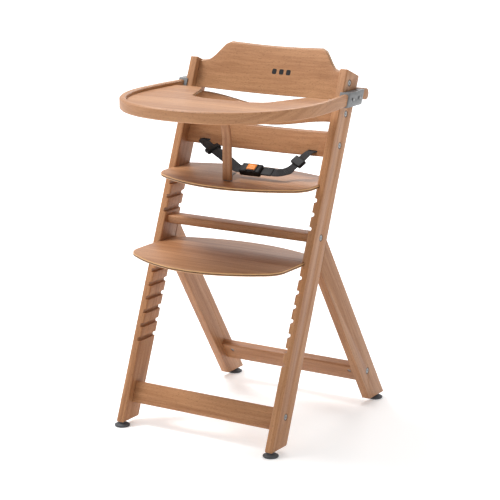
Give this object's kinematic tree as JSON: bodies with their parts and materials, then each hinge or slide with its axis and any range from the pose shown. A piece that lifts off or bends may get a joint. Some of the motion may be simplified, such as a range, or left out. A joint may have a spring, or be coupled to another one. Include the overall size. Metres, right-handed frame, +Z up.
{
  "type": "high_chair",
  "caption": "Wooden grow-along baby high chair with leaning posts, slotted seat and footrest, lift-off tray with crotch bar, and a lap harness with buckle.",
  "frame": {"origin": "bounding box bottom centre, on the floor", "axes": "+Z up, the chair faces -Y, +X is the viewer's right from the front"},
  "size_m": [0.501, 0.636, 0.9079],
  "materials": {
    "beech": "clear satin lacquer on stained beech",
    "plywood": "clear satin lacquer on beech plywood",
    "bracket_steel": "dark grey powder coat",
    "bolt_steel": "zinc plated",
    "black_plastic": "moulded, fine grain",
    "button_plastic": "moulded amber",
    "glide_plastic": "moulded",
    "webbing": "woven polyester"
  },
  "bodies": {
    "frame": {"left_post": "beech", "right_post": "beech", "left_rear_leg": "beech", "right_rear_leg": "beech", "front_rail": "beech", "rear_rail": "beech", "shelf_rail": "beech", "upper_backrest": "plywood", "middle_backrest": "plywood", "lower_backrest": "plywood", "left_front_glide": "glide_plastic", "left_rear_glide": "glide_plastic", "right_front_glide": "glide_plastic", "right_rear_glide": "glide_plastic", "left_front_rail_bolt": "bolt_steel", "left_rear_rail_bolt": "bolt_steel", "left_shelf_rail_bolt": "bolt_steel", "left_upper_backrest_bolt": "bolt_steel", "left_middle_backrest_bolt": "bolt_steel", "left_lower_backrest_bolt": "bolt_steel", "right_front_rail_bolt": "bolt_steel", "right_rear_rail_bolt": "bolt_steel", "right_shelf_rail_bolt": "bolt_steel", "right_upper_backrest_bolt": "bolt_steel", "right_middle_backrest_bolt": "bolt_steel", "right_lower_backrest_bolt": "bolt_steel", "left_front_rail_dowel": "beech", "left_rear_rail_dowel": "beech", "right_front_rail_dowel": "beech", "right_rear_rail_dowel": "beech", "left_strap": "webbing", "right_strap": "webbing", "crotch_strap": "webbing", "buckle_body": "black_plastic", "buckle_tongue": "black_plastic", "left_adjuster": "black_plastic", "right_adjuster": "black_plastic"},
    "seat": {"seat": "plywood"},
    "footrest": {"footrest": "plywood"},
    "tray": {"tray_rim": "beech", "tray_panel": "plywood", "tray_divider": "plywood", "rear_rod": "beech", "left_bracket": "bracket_steel", "left_spacer": "black_plastic", "left_arm_screw": "bolt_steel", "left_rod_screw": "bolt_steel", "left_front_block_screw": "bolt_steel", "left_rear_block_screw": "bolt_steel", "right_bracket": "bracket_steel", "right_spacer": "black_plastic", "right_arm_screw": "bolt_steel", "right_rod_screw": "bolt_steel", "right_front_block_screw": "bolt_steel", "right_rear_block_screw": "bolt_steel", "divider_rear_screw": "bolt_steel", "divider_front_screw": "bolt_steel"},
    "button": {"buckle_button": "button_plastic"}
  },
  "joints": [
    {"name": "tray_slide", "type": "slide", "parent": "frame", "child": "tray", "axis": [0, 0.3714, 0.9285], "range_m": [0, 0.1]},
    {"name": "seat_slide", "type": "slide", "parent": "frame", "child": "seat", "axis": [0, -1, 0], "range_m": [-0.02, 0.03]},
    {"name": "footrest_slide", "type": "slide", "parent": "frame", "child": "footrest", "axis": [0, -1, 0], "range_m": [0, 0.03]},
    {"name": "button_press", "type": "slide", "parent": "frame", "child": "button", "axis": [0, 0.5299, -0.848], "range_m": [0, 0.0014], "stiffness_N_per_m": 800, "springref_m": -0.001}
  ]
}
